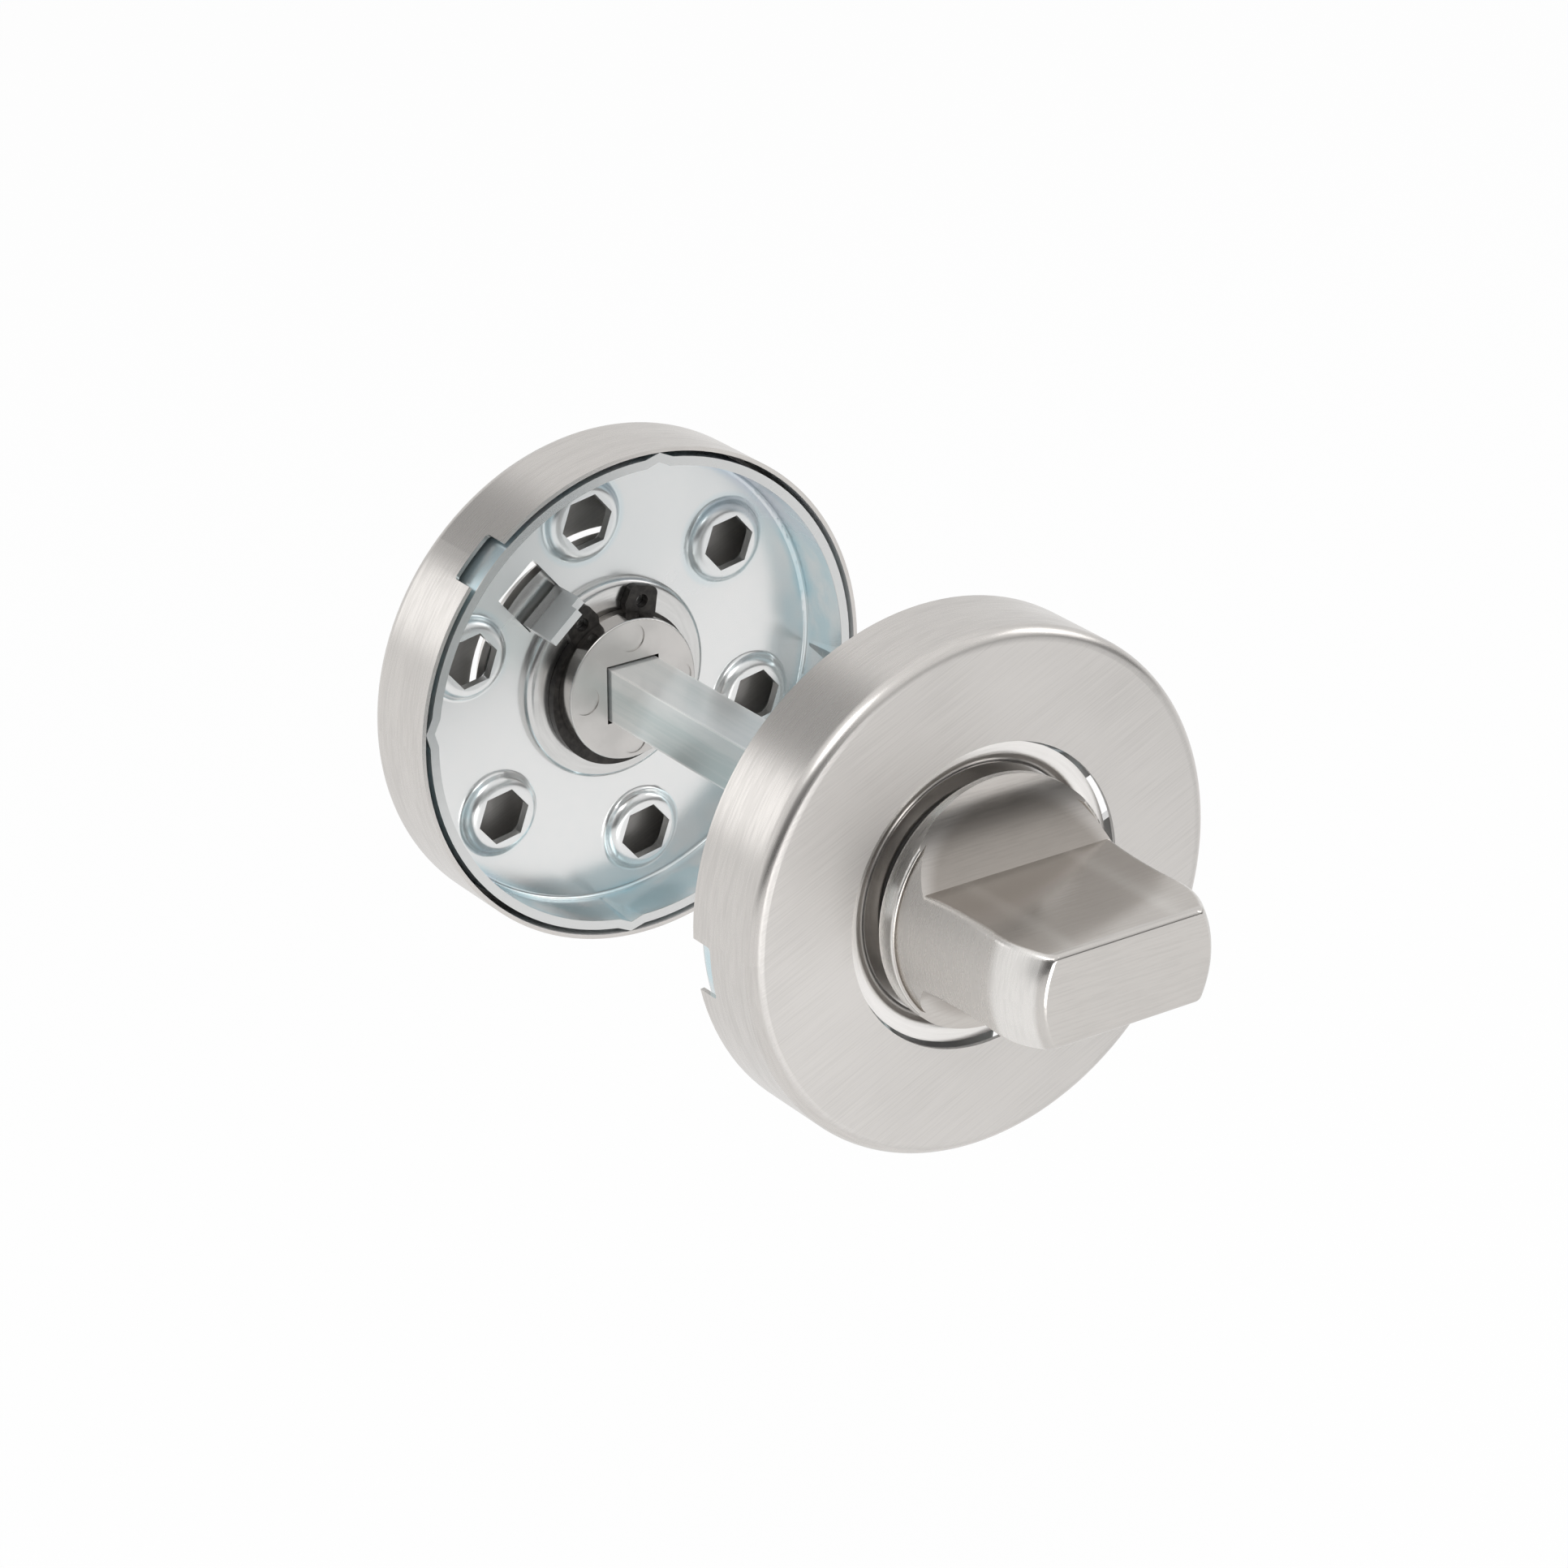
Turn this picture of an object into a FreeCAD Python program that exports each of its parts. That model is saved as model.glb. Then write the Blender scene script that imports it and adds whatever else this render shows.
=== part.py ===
import FreeCAD, Part
import math
import os
import Sketcher
from FreeCAD import Placement, Rotation, Vector

# A bathroom door turn set: two round roses on one square spindle, set apart by the door.
# World frame: +Z up, the spindle along Y, the thumb turn towards -Y, and the origin on the
# axis of the spindle, midway between the two faces of the door.
# Each rose is modelled in a frame of its own: z = 0 on the door and +z away from it.

SIZES = {
    # the door between the roses
    "door_thickness": 50.0,
    # pressed cover
    "rose_radius": 27.5,
    "rose_depth": 10.0,
    "cover_sheet": 0.45,
    "cover_edge_round": 1.4,
    "cover_hole_gap": 0.35,
    "notch_width": 5.7,
    "notch_depth": 2.8,
    "notch_round": 0.4,
    "inner_cover_turn": 187.4,
    "outer_cover_turn": -134.5,
    # pressed base plate
    "plate_clearance": 0.6,
    "plate_sheet": 1.0,
    "dish_setback": 3.3,
    "dish_fold_round": 0.5,
    "boss_pitch_radius": 19.0,
    "boss_top_radius": 3.25,
    "boss_foot_radius": 5.0,
    "boss_rise": 1.25,
    "boss_foot_share": 0.3,
    "first_boss_turn": 15.0,
    "hex_corner_radius": 3.12,
    "window_turn": 225.0,
    "window_inner_radius": 13.45,
    "window_reach": 4.45,
    "window_width": 5.7,
    "tongue_side_clearance": 0.1,
    "tongue_end_height": 1.3,
    "tongue_bend_round": 0.4,
    "tongue_step_height": 1.0,
    "tongue_step_width": 1.2,
    "crimp_width": 3.7,
    "crimp_end_width": 0.8,
    "crimp_fold_gap": 0.7,
    "crimp_clearance": 0.02,
    "crimp_root": 0.1,
    "crease_width": 2.8,
    "crease_depth": 0.55,
    "inner_plate_turn": 155.0,
    "outer_plate_turn": 5.0,
    # collar, swaged into the plate
    "collar_radius": 15.65,
    "collar_recess": 1.1,
    "collar_flat_width": 0.95,
    "cove_width": 1.5,
    "cove_depth": 0.7,
    "spigot_radius": 10.4,
    "spigot_clearance": 0.05,
    "swage_overlap": 0.9,
    "swage_height": 1.2,
    "swage_round": 0.9,
    # friction washer under the foot
    "washer_setback": 0.2,
    "washer_thickness": 0.5,
    "washer_clearance": 0.05,
    # shank of the thumb turn and of the release turn
    "shank_radius": 7.9,
    "shank_clearance": 0.05,
    "shank_end_height": 2.3,
    "shank_end_round": 0.2,
    "ejector_mark_radius": 1.55,
    "ejector_mark_pitch_radius": 5.85,
    "ejector_mark_depth": 0.12,
    # retaining ring
    "ring_thickness": 0.9,
    "ring_end_play": 0.05,
    "ring_side_clearance": 0.05,
    "ring_radius": 8.7,
    "ring_offset": 0.6,
    "groove_depth": 0.6,
    "groove_clearance": 0.1,
    "ear_radius": 10.8,
    "ear_width": 3.6,
    "ear_foot_width": 4.4,
    "ear_corner_round": 0.9,
    "ear_turn": 24.5,
    "ear_hole_radius": 0.75,
    "ear_hole_pitch_radius": 9.1,
    "ring_gap_width": 3.4,
    "inner_ring_turn": 95.0,
    "outer_ring_turn": -97.0,
    # foot of the two turned pieces
    "foot_radius": 13.25,
    "foot_stand": 0.45,
    "foot_thickness": 2.3,
    "foot_round": 0.3,
    "foot_groove_width": 0.22,
    "foot_groove_depth": 0.25,
    "neck_setback": 2.05,
    # wing of the thumb turn, set back from the edge of the foot and raised over the cover's face
    "wing_root_setback": 0.55,
    "wing_waist_arc": 53.0,
    "wing_shoulder_setback": 1.32,
    "wing_shoulder_height": 16.0,
    "wing_crown_arc": 9.75,
    "wing_crown_end_setback": 2.61,
    "wing_crown_end_height": 21.54,
    "wing_end_arc": 2.43,
    "wing_end_setback": 3.45,
    "wing_end_height": 22.4,
    "wing_thickness": 10.2,
    "wing_taper": 0.25,
    "wing_taper_length": 5.0,
    "scoop_root_height": 5.0,
    "scoop_rim_height": 1.35,
    "scoop_arc": 14.6,
    "scoop_overrun": 0.5,
    "wing_side_round": 0.7,
    "wing_end_round": 0.5,
    # coin slot of the release turn
    "cap_rise": 0.85,
    "cap_edge_round": 0.6,
    "slot_length": 16.0,
    "slot_width": 1.8,
    "slot_depth": 1.5,
    # spindle and its sockets
    "spindle_side": 6.0,
    "thumb_socket_fit": 0.02,
    "thumb_socket_rise": 10.0,
    "release_socket_gap": 0.28,
    "release_socket_rise": 1.0,
    "spindle_release_setback": 3.0,
}


class Size:
    """A number together with the sheet expression that it comes from."""

    def __init__(self, value, text):
        self.value = float(value)
        self.text = text

    def __add__(self, other):
        other = as_size(other)
        return Size(self.value + other.value, f"({self.text} + {other.text})")

    def __sub__(self, other):
        other = as_size(other)
        return Size(self.value - other.value, f"({self.text} - {other.text})")

    def __mul__(self, other):
        other = as_size(other)
        return Size(self.value * other.value, f"({self.text} * {other.text})")

    def __truediv__(self, other):
        other = as_size(other)
        return Size(self.value / other.value, f"({self.text} / {other.text})")

    def __neg__(self):
        return Size(-self.value, f"(0 - {self.text})")


def as_size(value):
    return value if isinstance(value, Size) else Size(value, repr(float(value)))


doc = FreeCAD.newDocument("bathroom_thumb_turn")
sheet = doc.addObject("Spreadsheet::Sheet", "Dims")


class Dims:
    """The driving dimensions, one attribute for each alias of the sheet."""


d = Dims()
for row, (alias, number) in enumerate(SIZES.items(), start=1):
    sheet.set(f"A{row}", alias)
    sheet.set(f"B{row}", str(number))
    sheet.setAlias(f"B{row}", alias)
    setattr(d, alias, Size(number, f"Dims.{alias}"))
doc.recompute()

ZERO = as_size(0)
NEAR = 1e-3  # two lengths closer than this are the same
LEAST_CHANGE = 1e-4  # a feature that changes the volume by less does nothing

# Heights over the door.
dish_depth = d.rose_depth - d.dish_setback
dish_back = dish_depth + d.plate_sheet
collar_face = d.rose_depth - d.collar_recess
cove_floor = collar_face - d.cove_depth
swage_end = dish_depth - d.swage_height
foot_seat = cove_floor + d.washer_thickness + d.washer_clearance
foot_back = d.rose_depth + d.foot_stand
foot_front = foot_back + d.foot_thickness
ring_back = swage_end - d.ring_end_play
ring_front = ring_back - d.ring_thickness
thumb_socket_end = d.rose_depth + d.thumb_socket_rise

# Radii that pieces share.
skirt_inner = d.rose_radius - d.cover_sheet
plate_radius = skirt_inner - d.plate_clearance
dish_radius = plate_radius - d.plate_sheet
bore_radius = d.shank_radius + d.shank_clearance
groove_radius = d.shank_radius - d.groove_depth
swage_radius = d.spigot_radius + d.swage_overlap
cover_hole_radius = d.collar_radius + d.cover_hole_gap
neck_radius = d.foot_radius - d.neck_setback
washer_radius = neck_radius - d.washer_setback
wing_root_radius = d.foot_radius - d.wing_root_setback
half_door = d.door_thickness / 2


def new_body(label):
    body = doc.addObject("PartDesign::Body", label)
    body.Label = label
    return body


def place(body, side, turn=ZERO):
    """Put a piece of a rose on its side of the door, -1 inner or +1 outer, turned on its axis."""
    onto_axis = Rotation(Vector(1, 0, 0), -90 * side)
    about_axis = Rotation(Vector(0, 0, 1), turn.value)
    body.Placement = Placement(Vector(0, side * half_door.value, 0), onto_axis.multiply(about_axis))
    body.setExpression("Placement.Base.y", (half_door * side).text)
    return body


def datum(body, role):
    return next(f for f in body.Origin.OriginFeatures if f.Role == role)


def new_sketch(body, name, role, lift=ZERO, turn=ZERO):
    """Sketch on an origin plane, lifted along its normal and turned round the axis of the rose."""
    sketch = body.newObject("Sketcher::SketchObject", f"{body.Label}_{name}")
    sketch.AttachmentSupport = [(datum(body, role), "")]
    sketch.MapMode = "FlatFace"
    rose_axis = Vector(0, 0, 1) if role == "XY_Plane" else Vector(0, 1, 0)
    sketch.AttachmentOffset = Placement(Vector(0, 0, lift.value), Rotation(rose_axis, turn.value))
    if lift.value:
        sketch.setExpression("AttachmentOffset.Base.z", lift.text)
    if turn.value:
        sketch.setExpression("AttachmentOffset.Rotation.Angle", f"{turn.text} * 1 deg")
    return sketch


def pin(sketch, geo, pos, x, y):
    """Hold one point of the sketch at sheet-driven distances from its origin."""
    for kind, axis, size in (("DistanceX", -2, x), ("DistanceY", -1, y)):
        if size.value == 0:
            sketch.addConstraint(Sketcher.Constraint("PointOnObject", geo, pos, axis))
        else:
            index = sketch.addConstraint(Sketcher.Constraint(kind, -1, 1, geo, pos, size.value))
            sketch.setExpression(f"Constraints[{index}]", size.text)


def hold_radius(sketch, geo, radius):
    index = sketch.addConstraint(Sketcher.Constraint("Radius", geo, radius.value))
    sketch.setExpression(f"Constraints[{index}]", radius.text)


def short_arc(start, end, radius, turning):
    """Arc from start to end that turns left (+1) or right (-1)."""
    chord = end - start
    left = Vector(-chord.y, chord.x, 0).normalize()
    reach = math.sqrt(max(radius ** 2 - chord.Length ** 2 / 4, 0))
    centre = (start + end) * 0.5 + left * (reach * turning)
    low, high = (start, end) if turning > 0 else (end, start)
    low_angle = math.atan2(low.y - centre.y, low.x - centre.x)
    high_angle = math.atan2(high.y - centre.y, high.x - centre.x)
    if high_angle < low_angle:
        high_angle += 2 * math.pi
    return Part.ArcOfCircle(Part.Circle(centre, Vector(0, 0, 1), radius), low_angle, high_angle)


def outline(sketch, corners, arcs=()):
    """Closed outline. arcs gives the number of a side, with its radius and its turning."""
    arcs = dict(arcs)
    points = [(as_size(x), as_size(y)) for x, y in corners]
    vectors = [Vector(x.value, y.value, 0) for x, y in points]
    first = sketch.GeometryCount
    ends = []
    for index, start in enumerate(vectors):
        end = vectors[(index + 1) % len(vectors)]
        if index in arcs:
            radius, turning = arcs[index]
            sketch.addGeometry(short_arc(start, end, radius.value, turning), False)
            ends.append((1, 2) if turning > 0 else (2, 1))
        else:
            sketch.addGeometry(Part.LineSegment(start, end), False)
            ends.append((1, 2))
    for index, (x, y) in enumerate(points):
        follower = (index + 1) % len(points)
        sketch.addConstraint(Sketcher.Constraint(
            "Coincident", first + index, ends[index][1], first + follower, ends[follower][0]))
        pin(sketch, first + index, ends[index][0], x, y)
    for index, (radius, _) in arcs.items():
        hold_radius(sketch, first + index, radius)


def circle(sketch, x, y, radius):
    geo = sketch.addGeometry(Part.Circle(Vector(x.value, y.value, 0), Vector(0, 0, 1), radius.value))
    pin(sketch, geo, 3, x, y)
    hold_radius(sketch, geo, radius)


def rectangle(sketch, low_x, low_y, high_x, high_y):
    outline(sketch, [(low_x, low_y), (high_x, low_y), (high_x, high_y), (low_x, high_y)])


def revolve(body, name, corners, arcs=(), cut=False, axis=None, turn=ZERO):
    """Turn a section of (radius, height) corners round the rose's axis or a parallel one."""
    sketch = new_sketch(body, f"{name}_section", "XZ_Plane", turn=turn)
    outline(sketch, corners, arcs)
    axis_name = "V_Axis"
    if axis is not None:
        geo = sketch.addGeometry(Part.LineSegment(Vector(axis.value, 1, 0), Vector(axis.value, 2, 0)), True)
        pin(sketch, geo, 1, axis, as_size(1))
        pin(sketch, geo, 2, axis, as_size(2))
        axis_name = "Axis0"
    before = body.Shape.Volume if cut else 0
    kind = "PartDesign::Groove" if cut else "PartDesign::Revolution"
    feature = body.newObject(kind, f"{body.Label}_{name}")
    feature.Profile = (sketch, [""])
    feature.ReferenceAxis = (sketch, [axis_name])
    feature.Angle = 360
    doc.recompute()
    if cut and body.Shape.Volume > before - LEAST_CHANGE:
        raise RuntimeError(f"{body.Label}: {name} cuts nothing")
    return feature


def pocket(body, name, sketch, length, reverse=False, midplane=False):
    """Cut a sketch into the body, and make sure that it takes something away."""
    before = body.Shape.Volume
    feature = body.newObject("PartDesign::Pocket", f"{body.Label}_{name}")
    feature.Profile = (sketch, [""])
    feature.Type = "Length"
    feature.setExpression("Length", length.text)
    feature.Reversed = reverse
    feature.Midplane = midplane
    doc.recompute()
    if body.Shape.Volume > before - LEAST_CHANGE:
        raise RuntimeError(f"{body.Label}: {name} cuts nothing")
    return feature


def pad(body, name, sketch, length, reverse=False, midplane=False):
    feature = body.newObject("PartDesign::Pad", f"{body.Label}_{name}")
    feature.Profile = (sketch, [""])
    feature.Type = "Length"
    feature.setExpression("Length", length.text)
    feature.Reversed = reverse
    feature.Midplane = midplane
    doc.recompute()
    return feature


def pattern(body, name, features, count):
    """Repeat features evenly round the axis of the rose."""
    feature = body.newObject("PartDesign::PolarPattern", f"{body.Label}_{name}")
    feature.Originals = features
    feature.Axis = (datum(body, "Z_Axis"), [""])
    feature.Angle = 360
    feature.Occurrences = count
    body.Tip = feature
    doc.recompute()
    return feature


def rounded(body, name, radius, wanted):
    """Fillet those edges of the body that the test picks."""
    tip = body.Tip
    names = [f"Edge{i}" for i, edge in enumerate(tip.Shape.Edges, start=1) if wanted(edge)]
    if not names:
        raise RuntimeError(f"{body.Label}: {name} finds no edge")
    feature = body.newObject("PartDesign::Fillet", f"{body.Label}_{name}")
    feature.Base = (tip, names)
    feature.setExpression("Radius", radius.text)
    doc.recompute()
    return feature


def round_edge(*rings):
    """Test for edges on circles round the rose's axis, each given by its radius and height."""
    def wanted(edge):
        if not isinstance(edge.Curve, Part.Circle):
            return False
        centre = edge.Curve.Center
        if math.hypot(centre.x, centre.y) > NEAR:
            return False
        return any(abs(edge.Curve.Radius - radius.value) < NEAR and abs(centre.z - height.value) < NEAR
                   for radius, height in rings)
    return wanted


def tapered(body, name, inner, base, depth, width, cut=False):
    """Ridge along the wall of the base plate, whose triangle shrinks from the rim towards the fold."""
    shrink = d.crimp_end_width / d.crimp_width
    sketches = []
    for end, lift, share in (("rim", ZERO, as_size(1)), ("fold", dish_depth - d.crimp_fold_gap, shrink)):
        sketch = new_sketch(body, f"{name}_{end}", "XY_Plane", lift=lift)
        half = width * share / 2
        outline(sketch, [
            (inner, -half),
            (base, -half),
            (base + depth * share, ZERO),
            (base, half),
            (inner, half),
        ])
        sketches.append(sketch)
    before = body.Shape.Volume
    kind = "PartDesign::SubtractiveLoft" if cut else "PartDesign::AdditiveLoft"
    feature = body.newObject(kind, f"{body.Label}_{name}")
    feature.Profile = (sketches[0], [""])
    feature.Sections = [(sketches[1], [""])]
    feature.Ruled = True
    doc.recompute()
    change = body.Shape.Volume - before
    if abs(change) < LEAST_CHANGE or (change > 0) == cut:
        raise RuntimeError(f"{body.Label}: {name} changes nothing")
    return feature


def cover(label, side, turn):
    """Pressed cup: flat face with a round hole, rounded rim, skirt with a notch to pry it off."""
    body = new_body(label)
    inner_face = d.rose_depth - d.cover_sheet
    revolve(body, "cup", [
        (cover_hole_radius, d.rose_depth),
        (d.rose_radius, d.rose_depth),
        (d.rose_radius, 0),
        (skirt_inner, 0),
        (skirt_inner, inner_face),
        (cover_hole_radius, inner_face),
    ])
    rounded(body, "rim_outside", d.cover_edge_round, round_edge((d.rose_radius, d.rose_depth)))
    rounded(body, "rim_inside", d.cover_edge_round - d.cover_sheet, round_edge((skirt_inner, inner_face)))
    sketch = new_sketch(body, "notch_outline", "YZ_Plane")
    half = d.notch_width / 2
    corner = d.notch_depth - d.notch_round
    outline(sketch, [
        (-half, -d.notch_depth),
        (half, -d.notch_depth),
        (half, corner),
        (half - d.notch_round, d.notch_depth),
        (d.notch_round - half, d.notch_depth),
        (-half, corner),
    ], {2: (d.notch_round, 1), 4: (d.notch_round, 1)})
    pocket(body, "notch", sketch, d.rose_radius + d.cover_sheet, reverse=True)
    return place(body, side, turn)


def base_plate(label, side, turn):
    """Pressed dish, open to the door, with hexagonal bosses, a window's tongue and rim crimps."""
    body = new_body(label)
    hole = d.spigot_radius + d.spigot_clearance
    revolve(body, "dish", [
        (hole, dish_back),
        (plate_radius, dish_back),
        (plate_radius, 0),
        (dish_radius, 0),
        (dish_radius, dish_depth),
        (hole, dish_depth),
    ])
    rounded(body, "fold_outside", d.dish_fold_round + d.plate_sheet, round_edge((plate_radius, dish_back)))
    rounded(body, "fold_inside", d.dish_fold_round, round_edge((dish_radius, dish_depth)))

    # each boss rises in an S of a small and a large arc, and the dimple follows half a sheet inside
    centre = d.boss_pitch_radius
    boss_top = dish_depth - d.boss_rise
    middle = dish_depth + d.plate_sheet / 2
    run = d.boss_foot_radius - d.boss_top_radius
    whole_arc = (run * run + d.boss_rise * d.boss_rise) / (d.boss_rise * 2)
    foot_arc = whole_arc * d.boss_foot_share
    top_share = as_size(1) - d.boss_foot_share
    top_arc = whole_arc * top_share
    top = centre + d.boss_top_radius
    foot = centre + d.boss_foot_radius
    boss = revolve(body, "boss", [
        (centre, middle),
        (centre, boss_top),
        (top, boss_top),
        (top + run * top_share, boss_top + d.boss_rise * top_share),
        (foot, dish_depth),
        (foot, middle),
    ], {2: (top_arc, 1), 3: (foot_arc, -1)}, axis=centre, turn=d.first_boss_turn)
    dimple_floor = boss_top + d.plate_sheet
    dimple_top = top - d.plate_sheet / 2
    dimple = revolve(body, "dimple", [
        (centre, dish_back + d.plate_sheet),
        (centre, dimple_floor),
        (dimple_top, dimple_floor),
        (dimple_top + run * d.boss_foot_share, dimple_floor + d.boss_rise * d.boss_foot_share),
        (dimple_top + run, dish_back),
        (dimple_top + run, dish_back + d.plate_sheet),
    ], {2: (foot_arc, 1), 3: (top_arc, -1)}, cut=True, axis=centre, turn=d.first_boss_turn)
    sketch = new_sketch(body, "hexagon", "XY_Plane", lift=dish_back, turn=d.first_boss_turn)
    corners = []
    for number in range(6):
        angle = math.radians(60 * number + 30)
        reach = d.hex_corner_radius
        corners.append((centre + reach * math.cos(angle), reach * math.sin(angle)))
    outline(sketch, corners)
    hexagon = pocket(body, "hexagon_hole", sketch, d.plate_sheet + d.boss_rise * 2)
    pattern(body, "bosses", [boss, dimple, hexagon], 6)

    # the window, and the tongue that was its sheet, bent down from the window's inner edge
    face = d.window_inner_radius
    back = face - d.plate_sheet
    inner_bend = d.tongue_bend_round
    outer_bend = inner_bend + d.plate_sheet
    bend_start = face - outer_bend
    half = d.window_width / 2
    sketch = new_sketch(body, "window_outline", "XY_Plane", lift=dish_back, turn=d.window_turn)
    rectangle(sketch, bend_start, -half, face + d.window_reach, half)
    pocket(body, "window", sketch, d.plate_sheet + d.boss_rise)
    sketch = new_sketch(body, "tongue_section", "XZ_Plane", turn=d.window_turn)
    outline(sketch, [
        (bend_start, dish_back),
        (bend_start, dish_depth),
        (back, dish_depth - inner_bend),
        (back, d.tongue_end_height),
        (face, d.tongue_end_height),
        (face, dish_back - outer_bend),
    ], {1: (inner_bend, -1), 5: (outer_bend, 1)})
    tongue_width = d.window_width - d.tongue_side_clearance * 2
    pad(body, "tongue", sketch, tongue_width, midplane=True)
    sketch = new_sketch(body, "tongue_step", "YZ_Plane", turn=d.window_turn)
    rectangle(sketch, tongue_width / 2 - d.tongue_step_width, ZERO,
              tongue_width, d.tongue_end_height + d.tongue_step_height)
    pocket(body, "tongue_end", sketch, face + inner_bend, reverse=True)

    # the crimps: creases of the wall, widening to the rim, which push it outwards against the cover
    root = plate_radius - d.crimp_root
    reach = skirt_inner - d.crimp_clearance - root
    crimp = tapered(body, "crimp", plate_radius - d.plate_sheet / 2, root, reach, d.crimp_width)
    crease = tapered(body, "crease", dish_radius - d.plate_sheet, dish_radius,
                     d.crease_depth, d.crease_width, cut=True)
    pattern(body, "crimps", [crimp, crease], 4)
    return place(body, side, turn)


def collar(label, side):
    """Turned ring in the hole of the cover, swaged into the base plate behind it."""
    body = new_body(label)
    cove_outer = d.collar_radius - d.collar_flat_width
    cove_inner = cove_outer - d.cove_width
    cove_arc = (d.cove_width * d.cove_width + d.cove_depth * d.cove_depth) / (d.cove_depth * 2)
    revolve(body, "ring", [
        (bore_radius, swage_end),
        (swage_radius, swage_end),
        (swage_radius, dish_depth),
        (d.spigot_radius, dish_depth),
        (d.spigot_radius, dish_back),
        (d.collar_radius, dish_back),
        (d.collar_radius, collar_face),
        (cove_outer, collar_face),
        (cove_inner, cove_floor),
        (bore_radius, cove_floor),
    ], {7: (cove_arc, 1)})
    rounded(body, "swage_edge", d.swage_round, round_edge((swage_radius, swage_end)))
    return place(body, side)


def friction_washer(label, side):
    body = new_body(label)
    sketch = new_sketch(body, "outline", "XY_Plane", lift=cove_floor)
    circle(sketch, ZERO, ZERO, washer_radius)
    circle(sketch, ZERO, ZERO, bore_radius)
    pad(body, "ring", sketch, d.washer_thickness)
    return place(body, side)


def retaining_ring(label, side, turn):
    """Flat spring ring with two eyed ears, open between them and widest opposite the gap."""
    body = new_body(label)
    sketch = new_sketch(body, "ring_outline", "XY_Plane", lift=ring_front)
    circle(sketch, -d.ring_offset, ZERO, d.ring_radius)
    circle(sketch, ZERO, ZERO, groove_radius + d.groove_clearance)
    pad(body, "ring", sketch, d.ring_thickness)
    for name, sign in (("left", 1), ("right", -1)):
        sketch = new_sketch(body, f"{name}_ear_outline", "XY_Plane", lift=ring_front, turn=d.ear_turn * sign)
        half = d.ear_width / 2
        foot_half = d.ear_foot_width / 2
        inner = groove_radius + d.groove_clearance * 2
        corner = d.ear_radius - d.ear_corner_round
        outline(sketch, [
            (inner, -foot_half),
            (corner, -half),
            (d.ear_radius, d.ear_corner_round - half),
            (d.ear_radius, half - d.ear_corner_round),
            (corner, half),
            (inner, foot_half),
        ], {1: (d.ear_corner_round, 1), 3: (d.ear_corner_round, 1)})
        pad(body, f"{name}_ear", sketch, d.ring_thickness)
        sketch = new_sketch(body, f"{name}_eye_outline", "XY_Plane", lift=ring_front, turn=d.ear_turn * sign)
        circle(sketch, d.ear_hole_pitch_radius, ZERO, d.ear_hole_radius)
        pocket(body, f"{name}_eye", sketch, d.ring_thickness, reverse=True)
    sketch = new_sketch(body, "gap_outline", "XY_Plane", lift=ring_front)
    half = d.ring_gap_width / 2
    rectangle(sketch, ZERO, -half, d.ear_radius, half)
    pocket(body, "gap", sketch, d.ring_thickness, reverse=True)
    return place(body, side, turn)


def shank_corners():
    """Door-side half of a turned piece's section, from its axis out to the groove over its foot."""
    return [
        (ZERO, d.shank_end_height),
        (d.shank_radius, d.shank_end_height),
        (d.shank_radius, ring_front - d.ring_side_clearance),
        (groove_radius, ring_front - d.ring_side_clearance),
        (groove_radius, ring_back + d.ring_side_clearance),
        (d.shank_radius, ring_back + d.ring_side_clearance),
        (d.shank_radius, foot_seat),
        (neck_radius, foot_seat),
        (neck_radius, foot_back),
        (d.foot_radius, foot_back),
        (d.foot_radius, foot_front),
        (wing_root_radius + d.foot_groove_width, foot_front),
        (wing_root_radius, foot_front - d.foot_groove_depth),
    ]


def finish_shank(body, socket_half, socket_end):
    """Round the shank's end, and cut its square socket and the marks of the ejector pins."""
    rounded(body, "shank_end", d.shank_end_round, round_edge((d.shank_radius, d.shank_end_height)))
    rounded(body, "foot_edges", d.foot_round,
            round_edge((d.foot_radius, foot_back), (d.foot_radius, foot_front)))
    sketch = new_sketch(body, "socket_outline", "XY_Plane", lift=d.shank_end_height)
    rectangle(sketch, -socket_half, -socket_half, socket_half, socket_half)
    pocket(body, "socket", sketch, socket_end - d.shank_end_height, reverse=True)
    sketch = new_sketch(body, "mark_outline", "XY_Plane", lift=d.shank_end_height)
    circle(sketch, d.ejector_mark_pitch_radius, ZERO, d.ejector_mark_radius)
    mark = pocket(body, "mark", sketch, d.ejector_mark_depth, reverse=True)
    pattern(body, "marks", [mark], 4)


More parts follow.
